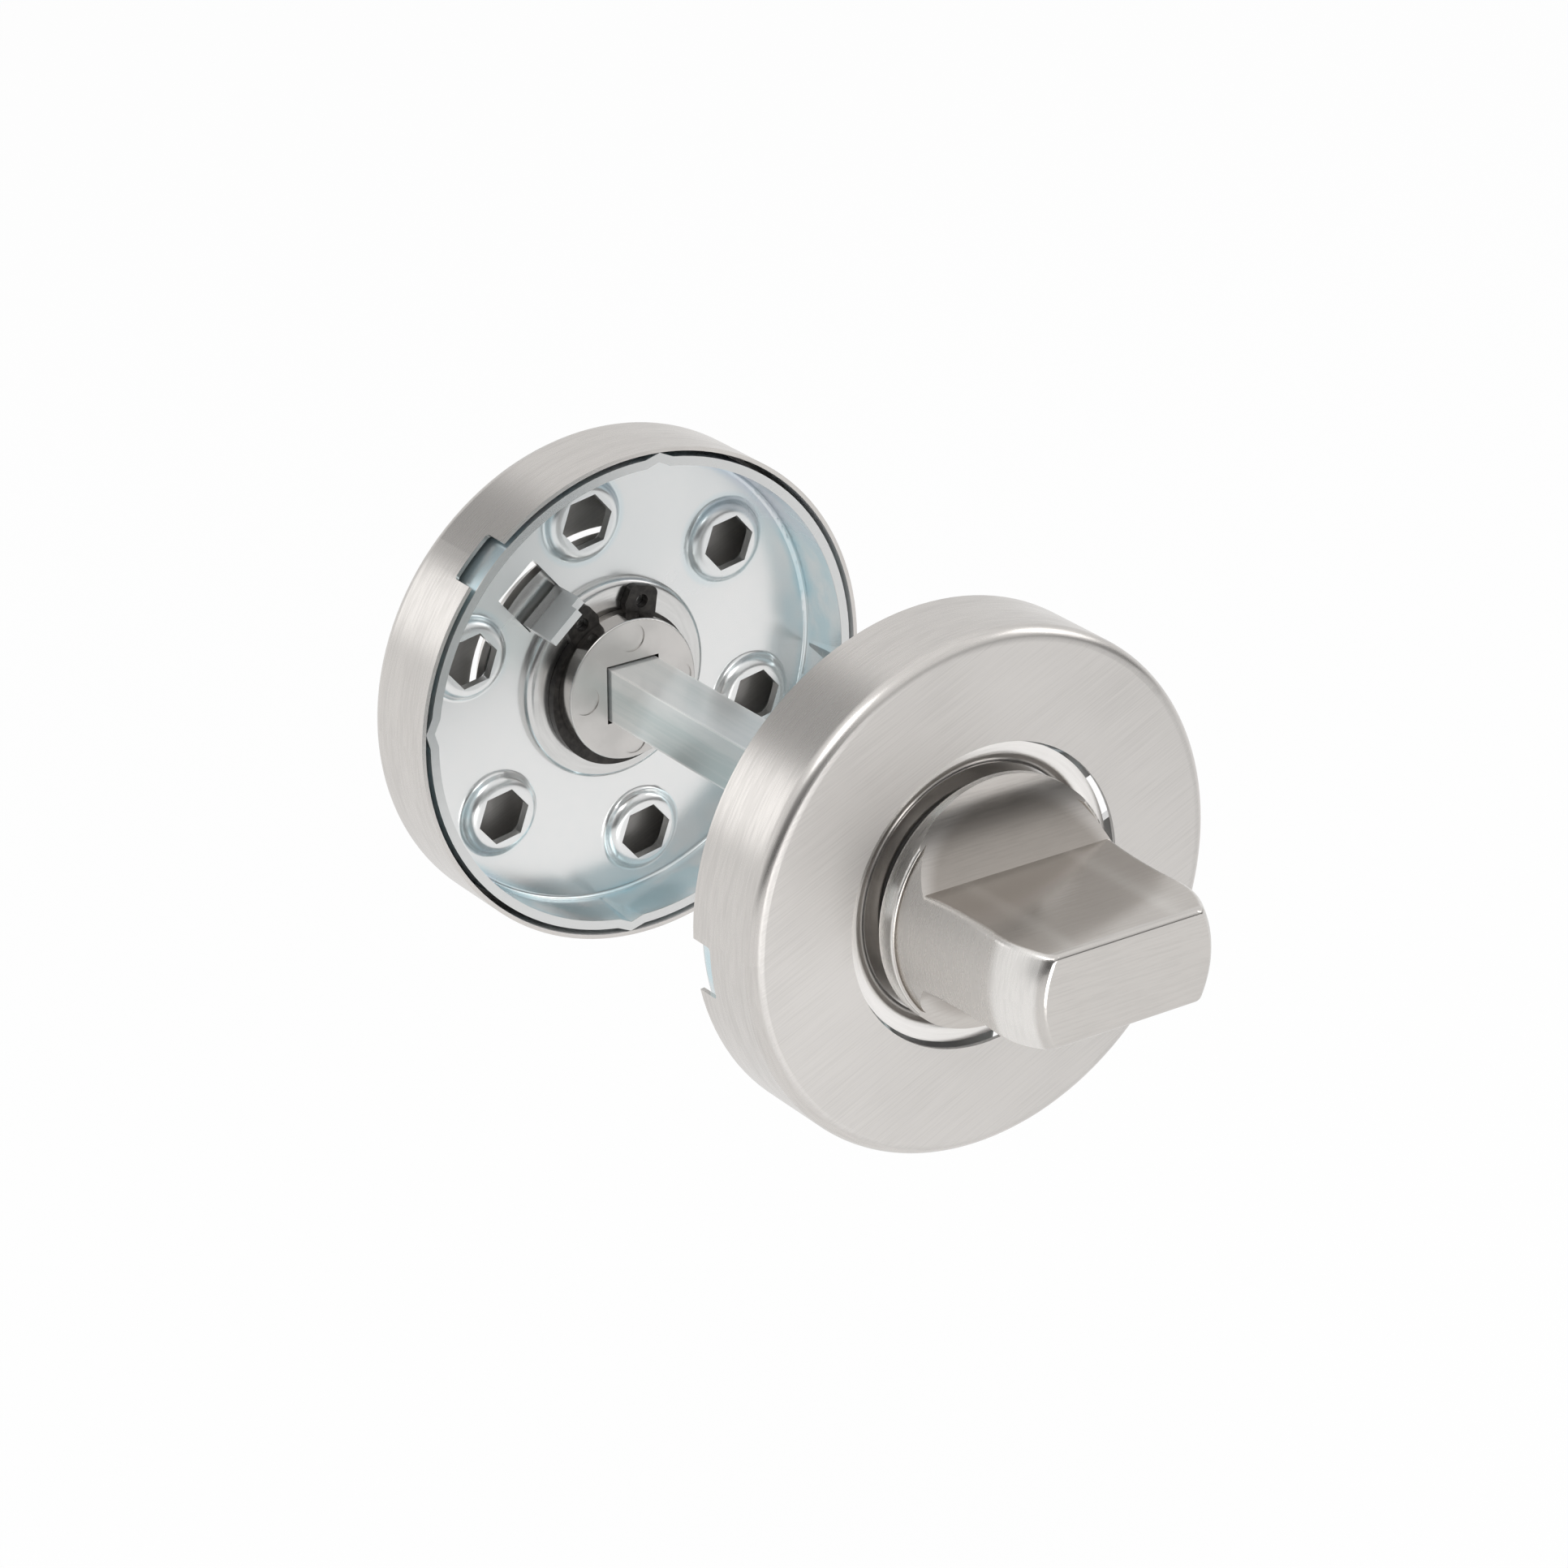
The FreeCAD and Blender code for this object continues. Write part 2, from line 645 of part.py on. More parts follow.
def thumb_turn(label):
    """One casting: shank and foot, and a wing left between two scoops."""
    body = new_body(label)
    wing_end = d.rose_depth + d.wing_end_height
    wing_shoulder = d.rose_depth + d.wing_shoulder_height
    corners = shank_corners()
    root = len(corners)
    revolve(body, "blank", corners + [
        (wing_root_radius, foot_front),
        (d.foot_radius - d.wing_shoulder_setback, wing_shoulder),
        (d.foot_radius - d.wing_crown_end_setback, d.rose_depth + d.wing_crown_end_height),
        (d.foot_radius - d.wing_end_setback, wing_end),
        (ZERO, wing_end),
    ], {root: (d.wing_waist_arc, -1), root + 1: (d.wing_crown_arc, 1), root + 2: (d.wing_end_arc, 1)})
    finish_shank(body, d.spindle_side / 2 + d.thumb_socket_fit, thumb_socket_end)
    half = d.wing_thickness / 2
    scoop_root = d.rose_depth + d.scoop_root_height
    end_half = half - d.wing_taper
    taper_start = wing_end - d.wing_taper_length
    taper_chord = d.wing_taper * d.wing_taper + d.wing_taper_length * d.wing_taper_length
    taper_arc = taper_chord / (d.wing_taper * 2)
    over_side = d.foot_radius + d.scoop_overrun
    over_end = wing_end + d.scoop_overrun
    for name, sign in (("upper", 1), ("lower", -1)):
        sketch = new_sketch(body, f"{name}_scoop_outline", "YZ_Plane")
        outline(sketch, [
            (over_side * sign, d.rose_depth + d.scoop_rim_height),
            (half * sign, scoop_root),
            (half * sign, taper_start),
            (end_half * sign, wing_end),
            (end_half * sign, over_end),
            (over_side * sign, over_end),
        ], {0: (d.scoop_arc, -sign), 2: (taper_arc, sign)})
        pocket(body, f"{name}_scoop", sketch, d.foot_radius * 2, midplane=True)

    # the wing's long edges lie off both planes through the axis, and well outside the socket
    over_scoop = scoop_root.value + NEAR
    under_end = wing_end.value - NEAR
    least_offset = (d.spindle_side / 2 + d.wing_side_round).value

    def on_scoop_side(edge):
        middle = edge.valueAt((edge.FirstParameter + edge.LastParameter) / 2)
        return over_scoop < middle.z < under_end and min(abs(middle.x), abs(middle.y)) > least_offset

    def on_end_face(edge):
        return all(vertex.Z > under_end for vertex in edge.Vertexes)

    rounded(body, "wing_sides", d.wing_side_round, on_scoop_side)
    rounded(body, "wing_end", d.wing_end_round, on_end_face)
    return body


def release_turn(label):
    """Outside piece of the set: the same shank and foot, with a low round cap and a coin slot."""
    body = new_body(label)
    cap_front = foot_front + d.cap_rise
    corners = shank_corners()
    revolve(body, "blank", corners + [
        (wing_root_radius, foot_front),
        (wing_root_radius, cap_front),
        (ZERO, cap_front),
    ])
    rounded(body, "cap_edge", d.cap_edge_round, round_edge((wing_root_radius, cap_front)))
    finish_shank(body, d.spindle_side / 2 + d.release_socket_gap, d.rose_depth + d.release_socket_rise)
    sketch = new_sketch(body, "slot_outline", "XY_Plane", lift=cap_front)
    end = d.slot_length / 2
    half = d.slot_width / 2
    corner = end - half
    outline(sketch, [
        (-corner, -half),
        (corner, -half),
        (end, ZERO),
        (corner, half),
        (-corner, half),
        (-end, ZERO),
    ], {number: (half, 1) for number in (1, 2, 4, 5)})
    pocket(body, "slot", sketch, d.slot_depth)
    return place(body, 1)


def spindle(label):
    """Square bar from the foot of the thumb turn's socket into the release turn's socket."""
    body = new_body(label)
    thumb_end = -half_door - thumb_socket_end
    release_end = half_door + d.rose_depth - d.spindle_release_setback
    sketch = new_sketch(body, "square", "XZ_Plane", lift=-release_end)
    half = d.spindle_side / 2
    rectangle(sketch, -half, -half, half, half)
    pad(body, "bar", sketch, release_end - thumb_end)
    return body


pieces = [
    cover("inner_cover", -1, d.inner_cover_turn),
    base_plate("inner_base_plate", -1, d.inner_plate_turn),
    collar("inner_collar", -1),
    friction_washer("inner_friction_washer", -1),
    retaining_ring("inner_retaining_ring", -1, d.inner_ring_turn),
    place(thumb_turn("thumb_turn"), -1),
    spindle("spindle"),
    cover("outer_cover", 1, d.outer_cover_turn),
    base_plate("outer_base_plate", 1, d.outer_plate_turn),
    collar("outer_collar", 1),
    friction_washer("outer_friction_washer", 1),
    retaining_ring("outer_retaining_ring", 1, d.outer_ring_turn),
    release_turn("release_turn"),
]
doc.recompute()

for obj in doc.Objects:
    if "Invalid" in obj.State or "Error" in obj.State:
        raise RuntimeError(f"{obj.Label}: {obj.State}")

os.makedirs("parts", exist_ok=True)
for body in pieces:
    shape = body.Shape
    if shape.isNull() or not shape.isValid() or len(shape.Solids) != 1:
        raise RuntimeError(f"{body.Label}: bad shape with {len(shape.Solids)} solids")
    box = shape.BoundBox
    print(f"{body.Label:24s} volume {shape.Volume:9.1f}"
          f"  y {box.YMin:7.2f} {box.YMax:7.2f}  x {box.XMin:7.2f} {box.XMax:7.2f}")
    shape.exportStep(f"parts/{body.Label}.step")
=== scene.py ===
import math
from functools import cached_property

import bpy
from mathutils import Matrix, Vector

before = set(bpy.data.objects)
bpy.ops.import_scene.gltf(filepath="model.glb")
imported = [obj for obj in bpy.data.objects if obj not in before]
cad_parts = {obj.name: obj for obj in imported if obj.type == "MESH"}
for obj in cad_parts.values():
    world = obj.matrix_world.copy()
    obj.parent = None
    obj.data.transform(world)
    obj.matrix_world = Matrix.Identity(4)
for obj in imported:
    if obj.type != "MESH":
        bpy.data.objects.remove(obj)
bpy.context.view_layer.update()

scene = bpy.context.scene
MM = 0.001


def mm(*lengths):
    return tuple(length * MM for length in lengths)


# Colours as they read under plain white light.
SKIRT = (0.64, 0.615, 0.59)
FACE = (0.61, 0.59, 0.57)
# Painted light: the inner wall of the covers is painted pale to lift the shade in the narrow gap.
INSIDE_PAINTED_LIGHT = (0.72, 0.71, 0.70)

SIDE = (0.78, 0.76, 0.735)
END = (0.60, 0.575, 0.55)
FLAT = (0.57, 0.54, 0.51)
# Painted shade: the concave scoops of the turn are painted dark.
SCOOP_PAINTED_SHADE = (0.38, 0.35, 0.32)
SHANK = (0.64, 0.62, 0.60)

NICKEL = (0.84, 0.82, 0.80)
NICKEL_DEEP = (0.72, 0.70, 0.68)
SWAGED = (0.66, 0.655, 0.645)
SWAGED_DEEP = (0.54, 0.535, 0.525)
# Painted shade: how dark the cove of the collar under the turn's foot is painted.
COVE_PAINTED_SHADE = 0.85

ZINC = (0.79, 0.79, 0.785)
ZINC_CLOUD = (0.74, 0.76, 0.76)
ZINC_TEAL = (0.54, 0.70, 0.75)
ZINC_VIOLET = (0.66, 0.65, 0.74)
ZINC_RIM = (0.64, 0.645, 0.64)

BAR = (0.90, 0.91, 0.90)
BAR_TEAL = (0.70, 0.77, 0.76)
BAR_EDGE = (1.0, 1.0, 0.99)

BLACK = (0.022, 0.020, 0.019)
BLACK_WORN = (0.05, 0.046, 0.042)
NYLON = (0.05, 0.05, 0.05)
NYLON_PALE = (0.08, 0.08, 0.08)

# Where each finish starts and where it is full. Radii are taken from the axis of the roses,
# and depths from the middle of the door.
SKIRT_RADIUS = mm(26.4, 26.9)
# The two cove spans mark where the collar is darkened as painted shade.
COVE_BACK_DEPTH = mm(31.8, 32.2)
COVE_FRONT_DEPTH = mm(33.8, 33.3)
SIDE_RADIUS = mm(7.0, 8.5)
# The scoop radius and the scoop tilt further down mark where the scoops of the turn are darkened as
# painted shade.
SCOOP_RADIUS = mm(12.4, 10.6)
SHANK_DEPTH = mm(36.2, 35.0)
END_DEPTH = mm(56.4, 57.0)
RELEASE_SIDE_Y = mm(-1.0, 1.0)
RIM_DEPTH = mm(25.15, 25.05)
WALL_RADIUS = mm(24.0, 25.2)
TONGUE_DEPTH = mm(30.3, 30.0)
TONGUE_RADIUS = mm(21.5, 21.0)
BOSS_FOOT_INNER = mm(3.7, 4.5)
BOSS_FOOT_OUTER = mm(5.7, 5.0)
BAR_EDGE_START = mm(2.72, 2.88)

# The same for the cosine between the surface's normal and a direction.
FACING_IN = (-0.4, -0.7)
FACING_OUT = (0.5, 0.8)
FACING_COVER = (0.3, 0.8)
CAP_TILT = (0.6, 0.9)
SCOOP_TILT = (0.25, 0.6)
SHANK_FACE_TILT = (0.3, 0.9)
BLUER_FACE_TILT = (0.4, 0.6)

# The bosses of the base plates: their circle and where the first one stands, in degrees.
BOSS_PITCH = 19.0 * MM
BOSS_COUNT = 6
FIRST_BOSS = {"inner_base_plate": 50.0, "outer_base_plate": 40.0}

# Slope of the brushing over the faces of the covers.
FACE_SLOPE = 0.45

# Range that holds most values of a noise.
MOST_NOISE = (0.3, 0.7)


class Graph:
    """Short ways to add nodes to a node tree and to join them."""

    def __init__(self, tree):
        self.tree = tree

    def feed(self, socket, value):
        if isinstance(value, bpy.types.NodeSocket):
            self.tree.links.new(value, socket)
        else:
            socket.default_value = value

    def add(self, kind, *values, named=(), **settings):
        """Node with numbers or sockets for its inputs, in order or by name."""
        node = self.tree.nodes.new(kind)
        for key, setting in settings.items():
            setattr(node, key, setting)
        for place, value in (*enumerate(values), *dict(named).items()):
            self.feed(node.inputs[place], value)
        return node

    def math(self, operation, *values, clamp=False):
        return self.add("ShaderNodeMath", *values, operation=operation, use_clamp=clamp).outputs[0]

    def times(self, first, second):
        return self.math("MULTIPLY", first, second)

    def largest(self, first, *others):
        for other in others:
            first = self.math("MAXIMUM", first, other)
        return first

    def ramp(self, value, span, to=(0.0, 1.0)):
        """Smooth step from one number or socket to another, while the value runs over the span."""
        return self.add("ShaderNodeMapRange", value, *span, *to, clamp=True,
                        interpolation_type="SMOOTHSTEP").outputs[0]

    def blend(self, kind, place, factor, first, second):
        """Mix node for one kind of value, whose sockets for it start at that place."""
        ends = {place: first, place + 1: second}
        node = self.add("ShaderNodeMix", factor, named=ends, data_type=kind)
        return next(output for output in node.outputs if output.enabled)

    def mix_value(self, factor, first, second):
        return self.blend("FLOAT", 2, factor, first, second)


class Shader(Graph):
    """The nodes of one material, in the coordinates of its piece."""

    def __init__(self, name):
        self.material = bpy.data.materials.new(name)
        self.material.use_nodes = True
        super().__init__(self.material.node_tree)
        self.bsdf = self.tree.nodes["Principled BSDF"]
        coordinates = self.add("ShaderNodeTexCoord").outputs
        self.place, self.facing = coordinates["Object"], coordinates["Normal"]
        self.x, self.y, self.z = self.add("ShaderNodeSeparateXYZ", self.place).outputs

    @cached_property
    def depth(self):
        """Distance from the middle of the door."""
        return self.math("ABSOLUTE", self.y)

    @cached_property
    def radius(self):
        """Distance from the axis of the roses."""
        return self.length(self.x, self.z)

    @cached_property
    def angle(self):
        """Angle round the axis of the roses."""
        return self.math("ARCTAN2", self.z, self.x)

    def vector(self, x, y, z):
        return self.add("ShaderNodeCombineXYZ", x, y, z).outputs[0]

    def length(self, x, z):
        reach = self.vector(x, 0.0, z)
        return self.add("ShaderNodeVectorMath", reach, operation="LENGTH").outputs["Value"]

    def tilt(self, axis):
        """How far the surface faces along an axis, from -1 to 1."""
        return self.add("ShaderNodeSeparateXYZ", self.facing).outputs[axis]

    def outward(self):
        """How far the surface faces away from the axis of the roses, from -1 to 1."""
        away = self.add("ShaderNodeVectorMath", self.vector(self.x, 0.0, self.z), operation="NORMALIZE")
        return self.add("ShaderNodeVectorMath", away.outputs[0], self.facing,
                        operation="DOT_PRODUCT").outputs["Value"]

    def mix(self, factor, *colors):
        ends = ((*color, 1.0) if isinstance(color, tuple) else color for color in colors)
        return self.blend("RGBA", 6, factor, *ends)

    def mix_vector(self, factor, first, second):
        return self.blend("VECTOR", 4, factor, first, second)

    def shade(self, color, amount):
        """Colour times an amount from 0 to 1."""
        return self.add("ShaderNodeVectorMath", color, named={"Scale": amount},
                        operation="SCALE").outputs[0]

    def noise(self, vector, scale, detail=3.0, roughness=0.55, distortion=0.0):
        return self.add("ShaderNodeTexNoise", named={
            "Vector": vector, "Scale": scale, "Detail": detail,
            "Roughness": roughness, "Distortion": distortion,
        }).outputs[0]

    def stretched(self, x=1.0, y=1.0, z=1.0):
        """Place whose noise is drawn out along an axis with a small factor."""
        return self.add("ShaderNodeVectorMath", self.place, (x, y, z), operation="MULTIPLY").outputs[0]

    def wound(self, drag, along=1.0, out=1.0):
        """Place whose noise is drawn out round the axis of the roses, the more so with a small drag."""
        return self.vector(self.times(self.angle, drag), self.times(self.y, along),
                           self.times(self.radius, out))

    def round_grain(self, scale, detail=2.0, drag=0.002):
        """Brushing round the axis of the roses."""
        return self.noise(self.wound(drag), scale, detail, roughness=0.6)

    def straight_grain(self, slope, scale, drag):
        """Brushing along a straight line of that slope over the face."""
        along = self.math("ADD", self.x, self.times(self.z, slope))
        across = self.math("SUBTRACT", self.z, self.times(self.x, slope))
        dragged = self.vector(self.times(along, drag), across, self.y)
        return self.noise(dragged, scale, detail=2.0, roughness=0.6)

    def around(self):
        """Direction round the axis of the roses."""
        return self.add("ShaderNodeTangent", direction_type="RADIAL", axis="Y").outputs[0]

    def straight(self, direction):
        """Direction that turns with the piece."""
        return self.add("ShaderNodeVectorTransform", direction, vector_type="VECTOR",
                        convert_from="OBJECT", convert_to="WORLD").outputs[0]

    def stretch_across(self, grooves):
        """Draw the reflections out across the grooves of the brushing."""
        normal = self.add("ShaderNodeNewGeometry").outputs["Normal"]
        across = self.add("ShaderNodeVectorMath", normal, grooves, operation="CROSS_PRODUCT")
        self.feed(self.bsdf.inputs["Tangent"], across.outputs[0])

    def uneven(self, satin, tone):
        """Roughness that is a little lower where the tone is pale."""
        return self.math("ADD", satin, self.ramp(tone, MOST_NOISE, to=(0.04, -0.02)))

    def bump(self, height, strength, distance):
        node = self.add("ShaderNodeBump", named={
            "Strength": strength, "Distance": distance, "Height": height,
        })
        self.feed(self.bsdf.inputs["Normal"], node.outputs[0])

    def finish(self, color, roughness, metallic=1.0, anisotropy=0.0):
        for name, value in (("Base Color", color), ("Roughness", roughness), ("Metallic", metallic),
                            ("Anisotropic", anisotropy)):
            self.feed(self.bsdf.inputs[name], value)
        return self.material


def brushed_cover():
    """Stainless sheet: brushed round the skirt, fine straight grain over the face, and a plain inner
    wall painted pale and nearly matt, as painted light that lifts the shade of the narrow gap.
    """
    s = Shader("brushed_cover")
    on_skirt = s.ramp(s.radius, SKIRT_RADIUS)
    painted_light_inside = s.ramp(s.outward(), FACING_IN)

    face_grain = s.straight_grain(FACE_SLOPE, scale=5200.0, drag=0.02)
    grain = s.mix_value(on_skirt, face_grain, s.round_grain(scale=3600.0))
    cloud = s.noise(s.place, scale=70.0, roughness=0.5)
    bands = s.mix_value(on_skirt, cloud, s.round_grain(scale=620.0, detail=3.0))
    tone = s.mix_value(0.4, grain, bands)

    # The inner wall takes a pale, nearly matt colour as painted light against the shade of the gap.
    color = s.mix(painted_light_inside, s.mix(on_skirt, FACE, SKIRT), INSIDE_PAINTED_LIGHT)
    s.bump(grain, strength=s.mix_value(on_skirt, 0.06, 0.09), distance=0.02 * MM)
    s.stretch_across(s.mix_vector(on_skirt, s.straight((1.0, 0.0, FACE_SLOPE)), s.around()))
    return s.finish(
        s.shade(color, s.ramp(tone, (0.30, 0.62), to=(0.90, 1.0))),
        roughness=s.uneven(s.mix_value(on_skirt, 0.46, 0.27), tone),
        metallic=s.mix_value(painted_light_inside, s.mix_value(on_skirt, 0.85, 1.0), 0.1),
        anisotropy=0.35,
    )


def turned_collar(name, light, deep, satin):
    """Metal with fine lines turned round the axis, and its roughness where it is deep and light; the
    cove under the turn's foot is darkened as painted shade.
    """
    s = Shader(name)
    lines = s.round_grain(scale=3000.0, drag=0.001)
    tone = s.mix_value(0.4, lines, s.noise(s.place, scale=120.0))
    # Painted shade: the cove under the turn's foot is darkened.
    painted_shade_in_cove = s.times(s.ramp(s.depth, COVE_BACK_DEPTH), s.ramp(s.depth, COVE_FRONT_DEPTH))
    color = s.mix(s.ramp(tone, MOST_NOISE, to=(0.55, 1.0)), deep, light)
    s.bump(lines, strength=0.02, distance=0.01 * MM)
    return s.finish(
        s.shade(color, s.ramp(painted_shade_in_cove, (0.0, 1.0), to=(1.0, COVE_PAINTED_SHADE))),
        roughness=s.ramp(tone, MOST_NOISE, to=satin),
    )


def satin_turn():
    """Cast turn: lines round its sides, dull flats, scoops darkened as painted shade, a brushed end and
    a plain shank.
    """
    s = Shader("satin_turn")
    tilt = s.math("ABSOLUTE", s.tilt("Y"))
    on_release = s.ramp(s.y, RELEASE_SIDE_Y)
    on_cap = s.times(on_release, s.ramp(tilt, CAP_TILT))
    on_side = s.times(s.ramp(s.outward(), FACING_OUT), s.ramp(s.radius, SIDE_RADIUS))
    on_end = s.largest(s.ramp(s.depth, END_DEPTH), on_cap)
    on_shank = s.ramp(s.depth, SHANK_DEPTH)
    # Painted shade: the concave scoops are darkened in colour.
    painted_shade_in_scoop = s.times(s.ramp(tilt, SCOOP_TILT), s.ramp(s.radius, SCOOP_RADIUS))
    bright = s.largest(on_side, on_end, on_shank, on_release)

    cast = s.noise(s.place, scale=260.0)
    straight = s.noise(s.stretched(x=0.05), scale=4800.0, detail=2.0, roughness=0.6)
    lines = s.noise(s.wound(0.0012, out=0.0), scale=3400.0, detail=2.0, roughness=0.6)
    grain = s.mix_value(on_shank, s.mix_value(on_side, straight, lines), cast)
    tone = s.mix_value(0.3, grain, cast)

    color = s.mix(bright, s.mix(painted_shade_in_scoop, FLAT, SCOOP_PAINTED_SHADE), SIDE)
    color = s.mix(on_shank, s.mix(on_end, color, END), SHANK)
    satin = s.mix_value(on_side, s.mix_value(on_end, 0.19, 0.17), 0.27)
    satin = s.mix_value(on_shank, satin, s.ramp(tilt, SHANK_FACE_TILT, to=(0.15, 0.36)))
    s.bump(grain, strength=s.mix_value(on_shank, 0.04, 0.02), distance=0.02 * MM)
    s.stretch_across(s.mix_vector(on_side, s.straight((1.0, 0.0, 0.0)), s.around()))
    return s.finish(
        s.shade(color, s.ramp(tone, (0.32, 0.62), to=(0.94, 1.0))),
        roughness=s.uneven(satin, tone),
        anisotropy=0.3,
    )


def zinc_plate(name):
    """Bright zinc, whose bluish tints gather in the wall and round the feet of the bosses."""
    s = Shader(f"zinc_{name}")
    step = 2 * math.pi / BOSS_COUNT
    turned = s.math("SUBTRACT", s.angle, math.radians(FIRST_BOSS[name]))
    off_boss = s.math("WRAP", turned, step / 2, -step / 2)
    out = s.math("SUBTRACT", s.times(s.radius, s.math("COSINE", off_boss)), BOSS_PITCH)
    from_boss = s.length(out, s.times(s.radius, s.math("SINE", off_boss)))
    on_foot = s.times(s.ramp(from_boss, BOSS_FOOT_INNER), s.ramp(from_boss, BOSS_FOOT_OUTER))
    on_rim = s.ramp(s.depth, RIM_DEPTH)
    on_wall = s.mix_value(on_rim, s.ramp(s.radius, WALL_RADIUS), 0.0)
    on_tongue = s.times(s.ramp(s.depth, TONGUE_DEPTH), s.ramp(s.radius, TONGUE_RADIUS))
    under_cover = s.ramp(s.times(s.tilt("Y"), s.math("SIGN", s.y)), FACING_COVER)
    dull = s.largest(on_tongue, under_cover)

    cloud = s.noise(s.place, scale=45.0, roughness=0.5, distortion=0.4)
    streak = s.noise(s.wound(0.010, along=0.5), scale=380.0)
    fine = s.noise(s.place, scale=900.0)
    teal_foot = s.times(on_foot, s.ramp(cloud, (0.40, 0.65), to=(0.0, 0.32)))
    teal_wall = s.times(on_wall, s.ramp(streak, (0.35, 0.60), to=(0.25, 0.85)))
    violet_wall = s.times(on_wall, s.ramp(cloud, (0.50, 0.62), to=(0.0, 0.45)))

    color = s.mix(s.ramp(fine, MOST_NOISE, to=(0.75, 1.0)), ZINC_CLOUD, ZINC)
    color = s.mix(s.ramp(cloud, (0.42, 0.72), to=(0.0, 0.7)), color, ZINC_CLOUD)
    color = s.mix(s.largest(teal_foot, teal_wall), color, ZINC_TEAL)
    color = s.mix(on_rim, color, ZINC_RIM)
    color = s.mix(violet_wall, color, ZINC_VIOLET)
    s.bump(fine, strength=s.mix_value(on_rim, 0.03, 0.5), distance=0.02 * MM)
    return s.finish(
        color,
        roughness=s.mix_value(dull, s.ramp(cloud, MOST_NOISE, to=(0.23, 0.29)), 0.4),
        metallic=s.mix_value(dull, 0.9, s.mix_value(under_cover, 0.6, 0.2)),
    )


def drawn_bar():
    """Zinc-plated bar: streaks along its length, paler edges and two bluer faces."""
    s = Shader("drawn_bar")
    streak = s.noise(s.stretched(y=0.03), scale=1500.0, roughness=0.6)
    cloud = s.noise(s.stretched(y=0.1), scale=300.0, detail=4.0, roughness=0.6)
    off_edge = s.math("MINIMUM", s.math("ABSOLUTE", s.x), s.math("ABSOLUTE", s.z))
    tilt = s.math("ABSOLUTE", s.tilt("X"))
    tint = s.times(s.ramp(cloud, (0.38, 0.62)), s.ramp(streak, (0.35, 0.65), to=(1.0, 0.55)))
    tint = s.times(tint, s.ramp(tilt, BLUER_FACE_TILT, to=(0.45, 1.0)))
    tint = s.math("ADD", tint, s.ramp(tilt, BLUER_FACE_TILT, to=(0.0, 0.25)), clamp=True)
    color = s.mix(s.ramp(off_edge, BAR_EDGE_START), s.mix(tint, BAR, BAR_TEAL), BAR_EDGE)
    s.bump(streak, strength=0.05, distance=0.01 * MM)
    s.stretch_across(s.straight((0.0, 1.0, 0.0)))
    return s.finish(color, s.ramp(streak, MOST_NOISE, to=(0.19, 0.25)), metallic=0.6, anisotropy=0.3)


def dark_spring_steel():
    """Black finish, worn a little paler in spots."""
    s = Shader("dark_spring_steel")
    fine = s.noise(s.place, scale=1400.0, detail=4.0)
    s.bump(fine, strength=0.15, distance=0.03 * MM)
    color = s.mix(s.ramp(fine, (0.35, 0.70)), BLACK, BLACK_WORN)
    return s.finish(color, s.ramp(fine, MOST_NOISE, to=(0.28, 0.42)), metallic=0.6)


def nylon():
    """Dull dark plastic."""
    s = Shader("nylon")
    fine = s.noise(s.place, scale=700.0)
    s.bump(fine, strength=0.1, distance=0.03 * MM)
    color = s.mix(fine, NYLON, NYLON_PALE)
    return s.finish(color, s.ramp(fine, MOST_NOISE, to=(0.45, 0.6)), metallic=0.0)


# A piece takes the first finish whose key ends its name.
FINISHES = {
    "cover": brushed_cover(),
    "inner_base_plate": zinc_plate("inner_base_plate"),
    "outer_base_plate": zinc_plate("outer_base_plate"),
    "outer_collar": turned_collar("swaged_collar", SWAGED, SWAGED_DEEP, satin=(0.26, 0.19)),
    "collar": turned_collar("turned_collar", NICKEL, NICKEL_DEEP, satin=(0.27, 0.21)),
    "turn": satin_turn(),
    "retaining_ring": dark_spring_steel(),
    "friction_washer": nylon(),
    "spindle": drawn_bar(),
}
for name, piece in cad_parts.items():
    finish = next(value for key, value in FINISHES.items() if name.endswith(key))
    for slot in piece.material_slots:
        slot.material = finish
    if not piece.material_slots:
        piece.data.materials.append(finish)

# Camera, as the photograph was taken. Its offsets are from the origin of the frame, in metres.
AZIMUTH, ELEVATION, ROLL = (math.radians(angle) for angle in (-34.652, 24.461, -0.373))
TO_RIGHT, UPWARD, DISTANCE = 0.000393, -0.000879, 0.53818
back = Vector((math.sin(AZIMUTH) * math.cos(ELEVATION),
               -math.cos(AZIMUTH) * math.cos(ELEVATION),
               math.sin(ELEVATION)))
right = Vector((math.cos(AZIMUTH), math.sin(AZIMUTH), 0.0))
up = back.cross(right)
right, up = (right * math.cos(ROLL) + up * math.sin(ROLL),
             up * math.cos(ROLL) - right * math.sin(ROLL))
camera = bpy.data.objects.new("camera", bpy.data.cameras.new("camera"))
camera.data.sensor_width = 36.0
camera.data.lens = 121.01
camera.data.clip_start = 0.01
camera.matrix_world = Matrix((right, up, back)).transposed().to_4x4()
camera.location = right * TO_RIGHT + up * UPWARD + back * DISTANCE
scene.collection.objects.link(camera)
scene.camera = camera

# Pale floor well below the set, which is made to be held by its door.
FLOOR_SIDE, FLOOR_LEVEL = 3.0, -0.16
FLOOR_PALE, FLOOR_ROUGHNESS = (0.9, 0.9, 0.9, 1.0), 0.9
FLOOR_GLOW = 0.9
WHITE = (1.0, 1.0, 1.0, 1.0)
floor_mesh = bpy.data.meshes.new("floor")
corners = [(x * FLOOR_SIDE, y * FLOOR_SIDE, FLOOR_LEVEL)
           for x, y in ((-1, -1), (1, -1), (1, 1), (-1, 1))]
floor_mesh.from_pydata(corners, [], [(0, 1, 2, 3)])
floor = bpy.data.objects.new("floor", floor_mesh)
scene.collection.objects.link(floor)

